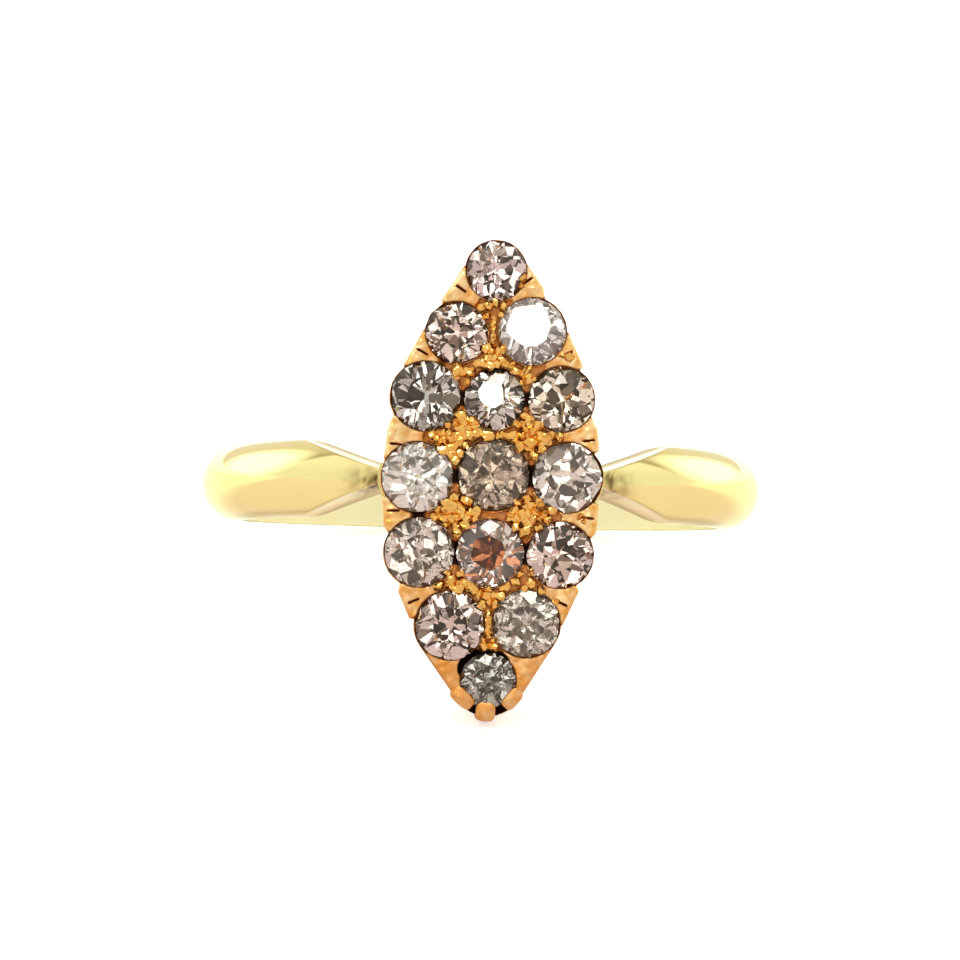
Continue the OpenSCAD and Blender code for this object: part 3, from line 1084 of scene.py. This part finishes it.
claw_points = []
for angle, out, *_ in claw_places:
    claw_points.append((*(stones["row7"][0] + heading(math.radians(angle)) * out), 0.0))
_, _, half_lengths, half_widths, claw_turns = zip(*claw_places)
claw_mesh = grow(
    "claws", claw_points, claw_tree,
    {"Length": plate_t, "Dome": claw_dome, "Corner": claw_corner, "Gold": plate_gold},
    length=half_lengths, width=half_widths, turn=[math.radians(turn) for turn in claw_turns],
)
# The claws get the painted shade of the tip
mark_grime_and_shade(claw_mesh, from_head, lambda p: tip_painted_shade)
claws = show("claws", claw_mesh, plate_gold, 50)
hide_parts("gold_mount")
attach(claws, "root")


# Diamonds: fifteen old-cut stones, each ground by hand, so that no two have the same facets: a
# small table, tall crown, rounded girdle, deep pavilion and a flat culet. Several are clouded or
# flawed, and they run from grey and mauve to brown.

crown_share = 0.32
table_share = 0.54
star_share = 0.52
pavilion_share = 0.84
low_share = 0.62
culet_share = 0.1
hand_turn = math.radians(2.2)
hand_depth = 0.016
rod_sides = 32
rod_length = 3
first_seed = 3

# The stones from the top. Glass colour, the table's colour, which is partly painted reflection,
# share of light that passes, and how much darker than the glass some facets are painted at random,
# as painted reflection; where a stone isn't clear, also how clouded it is, the flecks for each
# millimetre, and how pitted its surface is
stone_looks = {
    "row1": ((0.80, 0.72, 0.68), (0.66, 0.52, 0.52), 1.0, 0.7),
    "row2_left": ((1.00, 0.94, 0.87), (0.74, 0.56, 0.49), 1.0, 0.5),
    "row2_right": ((1.00, 0.99, 0.97), (1.00, 1.00, 1.00), 0.90, 0.2),
    "row3_left": ((0.76, 0.74, 0.70), (0.54, 0.53, 0.50), 1.0, 0.7),
    "row3_middle": ((0.72, 0.66, 0.60), (0.92, 0.90, 0.86), 1.0, 0.7),
    "row3_right": ((0.90, 0.82, 0.68), (0.70, 0.60, 0.47), 1.0, 0.7),
    "row4_left": ((1.00, 0.97, 0.90), (1.00, 0.98, 0.92), 0.97, 0.2, 0.3, 2.2, 0.2),
    "row4_middle": ((0.98, 0.86, 0.71), (0.88, 0.73, 0.58), 0.93, 0.6, 0.9, 1.6, 0.12),
    "row4_right": ((1.00, 0.95, 0.88), (0.90, 0.81, 0.72), 0.95, 0.5),
    "row5_left": ((0.96, 0.88, 0.80), (0.88, 0.78, 0.70), 0.95, 0.5, 0.4, 1.6, 0.15),
    "row5_middle": ((1.00, 0.96, 0.92), (0.20, 0.026, 0.004), 0.93, 0.4),
    "row5_right": ((0.90, 0.78, 0.72), (0.68, 0.50, 0.44), 1.0, 0.6),
    "row6_left": ((0.92, 0.82, 0.76), (0.72, 0.56, 0.51), 1.0, 0.6),
    "row6_right": ((1.00, 0.96, 0.88), (1.00, 0.94, 0.85), 0.93, 0.4, 0.6, 2.2, 0.12),
    "row7": ((0.54, 0.55, 0.50), (0.48, 0.50, 0.46), 0.97, 0.7, 0.3, 1.6, 0.10),
}

# How much of the surface glare each stone keeps, and one that is milky just under the surface
glare = (0.38, 0.34, 0.30)
milky_glare = {"row4_left": (1.0, 0.95, 0.82)}

# Stones whose table is ground out of level: how much, towards which side, and the table's share
tilted_tables = {"row2_right": (11, 128, 0.64), "row3_middle": (11, 128, 0.38)}


def facet_planes(r, turn, table_share):
    """A point and an outward direction for each facet, from the table down to the culet."""
    crown, table, low_edge = crown_share * r, table_share * r, -girdle_t
    deep, culet = low_edge - pavilion_share * r, culet_share * r
    eighth = math.tau / 16
    side_r = (table + (r - table) * star_share) / math.cos(eighth)
    side_h = crown * (1 - star_share)
    low_r = (r - (r - culet * math.cos(eighth)) * low_share) / math.cos(eighth)
    low_z = low_edge - low_share * pavilion_share * r
    planes = [(Vector((0, 0, crown)), Vector((0, 0, 1))), (Vector((0, 0, deep)), Vector((0, 0, -1)))]

    def at(angle, reach, z):
        return Vector((*(heading(turn + angle) * reach), z))

    for i in range(8):
        main = i * math.tau / 8
        planes.append((at(main, r, 0), at(main, crown, r - table)))
        planes.append((at(main, r, low_edge), at(main, pavilion_share * r, -(r - culet))))
        star = main + eighth
        star_mid = table * math.cos(eighth)
        planes.append((at(star, star_mid, crown), at(star, crown - side_h, side_r - star_mid)))
        for way in (-1, 1):
            for z, inner in ((0, at(star, side_r, side_h)), (low_edge, at(star, low_r, low_z))):
                a, b = at(star, r, z), at(star + way * eighth, r, z)
                normal = (a - inner).cross(b - inner)
                if normal.dot(inner - Vector((0, 0, z))) < 0:
                    normal.negate()
                planes.append((inner, normal))
    return planes


def tilted_table(name):
    """The outward direction of a stone's table that is ground out of level."""
    tilt, side, _ = tilted_tables[name]
    lean_way = heading(math.radians(side)) * math.sin(math.radians(tilt))
    return Vector((*lean_way, math.cos(math.radians(tilt))))


def cut_stone(name, seed, glass, table_tint_and_reflection, facet_shade_spread):
    """A stone ground facet by facet from a short round rod, with its glass colour on each facet, some
    painted darker at random as painted reflection.
    """
    middle, r, turn = stones[name]
    r += stone_reach
    rng = random.Random(seed)
    rod = bmesh.new()
    bmesh.ops.create_cone(
        rod, segments=rod_sides, radius1=r, radius2=r, depth=rod_length * r, cap_ends=True,
    )
    *_, share = tilted_tables.get(name, [table_share])
    for i, (point, normal) in enumerate(facet_planes(r, turn, share)):
        axis = Vector([rng.gauss(0, 1) for _ in range(3)]).normalized()
        ground_way = Matrix.Rotation(rng.gauss(0, hand_turn), 3, axis) @ normal.normalized()
        if i == 0 and name in tilted_tables:
            ground_way = tilted_table(name)
        ground = point - ground_way * abs(rng.gauss(0, hand_depth * r))
        cut = bmesh.ops.bisect_plane(
            rod, geom=rod.verts[:] + rod.edges[:] + rod.faces[:], dist=1e-5,
            plane_co=ground, plane_no=ground_way, clear_outer=True,
        )
        rim = [e for e in cut["geom_cut"] if isinstance(e, bmesh.types.BMEdge)]
        if rim:
            bmesh.ops.contextual_create(rod, geom=rim)
    bmesh.ops.recalc_face_normals(rod, faces=rod.faces)
    table = max(rod.faces, key=lambda f: f.normal.z * f.calc_area())
    colours = []
    # The table's own colour and the random darkening of the other facets are partly painted
    # reflection
    for face in rod.faces:
        tint = table_tint_and_reflection if face == table else glass
        painted_darker = 0 if face == table else facet_shade_spread * rng.random()**2
        colours += [c * (1 - painted_darker) for c in tint] + [1]
    rod.transform(from_head @ Matrix.Translation((*middle, -girdle_depth)))
    mesh = bpy.data.meshes.new("diamond_" + name)
    rod.to_mesh(mesh)
    rod.free()
    mesh.attributes.new("facet", "FLOAT_COLOR", "FACE").data.foreach_set("color", colours)
    return mesh


def add_ramp(tree, value, stops, interpolation="LINEAR", full=1.0):
    """Colours along a value, where each stop's colour is given as a share of full."""
    node = add_node(tree, "ShaderNodeValToRGB", {"Fac": value})
    ramp = node.color_ramp
    ramp.interpolation = interpolation
    ramp.elements.remove(ramp.elements[-1])
    for i, (share, colour) in enumerate(stops):
        element = ramp.elements.new(share) if i else ramp.elements[0]
        element.position = share
        element.color = (*(c / full for c in colour), 1)
    return node


# Clouds and flaws in old stones: milky patches, fine white flecks and a few brown ones. The
# flecks' tones are given along their noise, and the frosting is finer and lighter or darker;
# its specks brighter than the colour under them are painted glints.
fleck_tones = [
    (0.34, (0.22, 0.13, 0.09)),
    (0.44, (0.55, 0.49, 0.45)),
    (0.55, (0.82, 0.79, 0.75)),
    (0.64, (1.00, 1.00, 1.00)),
]
frost_fineness = 3.5
frost_band = (0.42, 0.56)
frost_dark_and_glint = (0.4, 1.3)

clouding, cloud_in, cloud_out = new_tree(
    "Clouded stone", "ShaderNodeTree",
    [("Glass", "Color", (0.9, 0.9, 0.9, 1)), ("Clouding", "Float", 0.5), ("Flecks", "Float", 3.0)],
    [("Colour", "Color"), ("Height", "Float")],
)
in_stone = (add_node(clouding, "ShaderNodeTexCoord", {}), "Object")
fleck_scale = add_math(clouding, "MULTIPLY", (cloud_in, "Flecks"), 1 / MM)
flecks = add_noise(clouding, in_stone, fleck_scale, 5.0, 0.7, 0.8)
fleck_tone = add_ramp(clouding, flecks, fleck_tones)
flecked = add_mix(clouding, 1.0, (cloud_in, "Glass"), fleck_tone, blend_type="MULTIPLY")
frost_scale = add_math(clouding, "MULTIPLY", fleck_scale, frost_fineness)
frosting = add_noise(clouding, in_stone, frost_scale, 2.0, 0.6)
frost_share = add_range(clouding, frosting, *frost_band, *frost_dark_and_glint)
speckled = add_vector_math(clouding, "SCALE", flecked, Scale=frost_share)
clouded = add_mix(clouding, (cloud_in, "Clouding"), (cloud_in, "Glass"), speckled)
feed(cloud_out, {"Colour": clouded, "Height": frosting})

diamond_ior = 2.42
pit_depth = 0.01 * MM
least_pits = 0.03


def diamond(name, clear, cloud=0.0, fleck_count=3, pitted=0.0):
    """The material of one stone, with the glass colour that each of its facets has."""
    material, tree, shader = new_material("diamond_" + name)
    facet = add_node(tree, "ShaderNodeAttribute", {}, attribute_name="facet")
    clouds = add_node(
        tree, "ShaderNodeGroup",
        {"Glass": (facet, "Color"), "Clouding": cloud, "Flecks": float(fleck_count)},
        node_tree=clouding,
    )
    uneven = add_node(
        tree, "ShaderNodeBump",
        {"Height": (clouds, "Height"), "Distance": pit_depth, "Strength": least_pits + pitted},
    )
    feed(shader, {
        "Base Color": (clouds, "Colour"), "Normal": uneven, "Transmission Weight": clear,
        "Roughness": 0.0, "IOR": diamond_ior,
        "Specular Tint": (*milky_glare.get(name, glare), 1),
    })
    return material


for seed, name in enumerate(stone_names, first_seed):
    glass, table_tint_and_reflection, clear, facet_shade_spread, *finish = stone_looks[name]
    stone_mesh = cut_stone(name, seed, glass, table_tint_and_reflection, facet_shade_spread)
    stone = show("stone_" + name, stone_mesh, diamond(name, clear, *finish), 0.5)
    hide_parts("diamond_" + name)
    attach(stone, "root")


# The studio: a white paper table under a bright tent, with lamp panels on each side, one over the
# camera and one beside it, and darker gaps between them, which the gold and the stones pick up.

paper_to_camera = (0.97, 0.97, 0.97, 1)
paper_glow = (0.22, 0.19, 0.17, 1)
paper_glow_to_camera = (1, 1, 1, 1)
glow_strength = 0.5
paper_roughness = 0.9

# The paper as the gold and the stones pick it up, from before the ring to behind it, in metres
paper_tones = [
    (-0.040, (0.62, 0.53, 0.52)),
    (0.002, (0.62, 0.53, 0.52)),
    (0.006, (0.77, 0.78, 0.70)),
    (0.038, (0.77, 0.78, 0.76)),
    (0.052, (1.00, 1.00, 1.00)),
]

floor_mesh = bpy.data.meshes.new("table_top")
floor_mesh.from_pydata([(-1, -1, 0), (1, -1, 0), (1, 1, 0), (-1, 1, 0)], [], [(0, 1, 2, 3)])
floor = new_object("table_top", floor_mesh)
paper, paper_tree, paper_shader = new_material("white_paper")
to_camera = (add_node(paper_tree, "ShaderNodeLightPath", {}), "Is Camera Ray")
paper_place = (add_node(paper_tree, "ShaderNodeTexCoord", {}), "Object")
paper_parts = add_node(paper_tree, "ShaderNodeSeparateXYZ", {0: paper_place})
paper_start, paper_end = paper_tones[0][0], paper_tones[-1][0]
behind_ring = add_range(paper_tree, (paper_parts, "Y"), paper_start, paper_end)
paper_stops = [((y - paper_start) / (paper_end - paper_start), c) for y, c in paper_tones]
picked_up = add_ramp(paper_tree, behind_ring, paper_stops)
feed(paper_shader, {
    "Base Color": add_mix(paper_tree, to_camera, picked_up, paper_to_camera),
    "Emission Color": add_mix(paper_tree, to_camera, paper_glow, paper_glow_to_camera),
    "Emission Strength": glow_strength,
    "Roughness": paper_roughness,
})
floor_mesh.materials.append(paper)

# The view that the photo was taken from, which the tent and its lamps stand round
camera_rise = math.radians(2.3)
camera_yaw = math.radians(2.1)
turned = from_ring.to_3x3().normalized()
look = Vector((math.sin(camera_yaw), 0, math.sin(camera_rise)))
look.y = math.sqrt(1 - look.length_squared)
right = look.cross(Vector((0, 0, 1))).normalized()
up = right.cross(look)
toward_camera = turned @ -look
over_camera = turned @ up

brightest = 2.6
paper_white = 1.15

# The side lamps are the same left and right: their way, the cosines of their edge, their light
side_lamp_way = Vector((0.82, 0.57, 0.25)).normalized()
side_lamp_band = (0.89, 0.975)
side_lamp_light = (0.8, 0.79, 0.77, 1)

# The lamps over and beside the camera: way, cosines of their soft edge, and brightness
top_lamp_angle = math.radians(66)
top_lamp_way = (
    toward_camera * math.cos(top_lamp_angle) + over_camera * math.sin(top_lamp_angle)
)
mirror = (from_head.to_3x3() @ tilted_table("row2_right")).normalized()
small_lamp_way = 2 * mirror.dot(toward_camera) * mirror - toward_camera
lamps = [
    (top_lamp_way, 0.981, 0.992, 14.0),
    (small_lamp_way, 0.9965, 0.9985, 18.0),
]

# The tent from the camera, over the ring, to the table behind: angle in degrees, and colour
tent_strips = [
    (0, (1.08, 1.06, 1.03)),
    (40, (1.20, 1.18, 1.15)),
    (88, (1.25, 1.23, 1.19)),
    (94, (0.66, 0.60, 0.46)),
    (97, (0.50, 0.44, 0.33)),
    (102, (0.70, 0.64, 0.55)),
    (180, (0.80, 0.73, 0.66)),
]

# The cloth that closes the tent at its two sides, and how far out it starts and is full
side_cloth = (1.10, 1.08, 1.03)
side_cloth_band = (0.80, 0.97)

# How much of the tent is lit, by the angle from the camera, which stands in a dark gap
tent_lit = [
    (0, (0.70, 0.67, 0.62)),
    (14, (0.74, 0.71, 0.66)),
    (30, (0.84, 0.83, 0.80)),
    (60, (0.88, 0.87, 0.84)),
    (88, (0.90, 0.90, 0.88)),
    (102, (1.05, 1.05, 1.05)),
    (120, (1.20, 1.20, 1.20)),
    (180, (1.20, 1.20, 1.20)),
]

# What the stones show of the room past the camera: share of the noise, and colour
room_scale, room_detail, room_distortion = 3.4, 1.5, 0.6
room_patches = [
    (0.00, (0.03, 0.022, 0.018)),
    (0.455, (0.26, 0.20, 0.155)),
    (0.52, (0.80, 0.70, 0.58)),
    (0.56, (2.60, 2.50, 2.30)),
]

world = bpy.data.worlds.new("studio")
world.use_nodes = True
bpy.context.scene.world = world
sky = world.node_tree
sky_way = (add_node(sky, "ShaderNodeTexCoord", {}), "Generated")
sky_parts = add_node(sky, "ShaderNodeSeparateXYZ", {0: sky_way})
mirrored = add_vector_math(sky, "ABSOLUTE", sky_way)
mirrored_parts = add_node(sky, "ShaderNodeSeparateXYZ", {0: mirrored})


def toward(seen, way):
    """How nearly what is seen lies the given way, as a cosine."""
    return add_vector_math(sky, "DOT_PRODUCT", seen, way), "Value"


def by_angle(angle, stops):
    """Colours along an angle, from stops in degrees, as shares of the brightest light."""
    half_turns = add_range(sky, angle, 0.0, math.pi)
    return add_ramp(sky, half_turns, [(degrees / 180, c) for degrees, c in stops], full=brightest)


facing = toward(sky_way, toward_camera)
above = toward(sky_way, over_camera)
strips = by_angle(add_math(sky, "ARCTAN2", above, facing), tent_strips)
lit = by_angle(add_math(sky, "ARCCOSINE", facing), tent_lit)
to_side = add_range(sky, (mirrored_parts, "X"), *side_cloth_band)
cloth = (*(c / brightest for c in side_cloth), 1)
tent_light = add_vector_math(sky, "MULTIPLY", add_mix(sky, to_side, strips, cloth), lit)
tent = add_vector_math(sky, "SCALE", tent_light, Scale=brightest)
either_side = add_node(
    sky, "ShaderNodeCombineXYZ", {0: (mirrored_parts, "X"), 1: (sky_parts, "Y"), 2: (sky_parts, "Z")},
)
side_lamp = add_range(sky, toward(either_side, side_lamp_way), *side_lamp_band)
all_lamps = add_mix(sky, side_lamp, tent, side_lamp_light)
for way, soft_from, full_from, brightness in lamps:
    lamp = add_range(sky, toward(sky_way, way), soft_from, full_from, 0.0, brightness / brightest)
    all_lamps = add_vector_math(sky, "ADD", all_lamps, lamp)
shapes = add_noise(sky, sky_way, room_scale, room_detail, distortion=room_distortion)
room = add_ramp(sky, shapes, room_patches, "CONSTANT", brightest)
seen_by = add_node(sky, "ShaderNodeLightPath", {})
through_stones = add_mix(sky, (seen_by, "Is Transmission Ray"), all_lamps, room)
backdrop = (*[paper_white / brightest] * 3, 1)
behind_it = add_mix(sky, (seen_by, "Is Camera Ray"), through_stones, backdrop)
feed(sky.nodes["Background"], {"Color": behind_it, "Strength": brightest})
bpy.context.scene.view_settings.view_transform = "Standard"


# The camera: it looks at the head as the photo does, nearly square to it and turned by a degree,
# from 150 mm away. As the ring leans back, the camera stands over the table and looks down a bit.

frame_px = 960
camera_distance = 150
camera_roll = math.radians(1.0)
head_px = (492, 480)
mm_per_px = 0.0338
head_front = Vector((0, -head_h, -head_drop))

camera_right = right * math.cos(camera_roll) + up * math.sin(camera_roll)
camera_up = up * math.cos(camera_roll) - right * math.sin(camera_roll)
camera_data = bpy.data.cameras.new("camera")
camera_data.lens = camera_data.sensor_width * camera_distance / mm_per_px / frame_px
camera_data.shift_x = (frame_px / 2 - head_px[0]) / frame_px
camera_data.shift_y = (head_px[1] - frame_px / 2) / frame_px
camera_data.clip_start = 0.001
camera = new_object("camera", camera_data)
axes = [turned @ camera_right, turned @ camera_up, toward_camera]
camera.matrix_world = (
    Matrix.Translation(from_ring @ (head_front - look * camera_distance))
    @ Matrix(axes).transposed().to_4x4()
)
bpy.context.scene.camera = camera
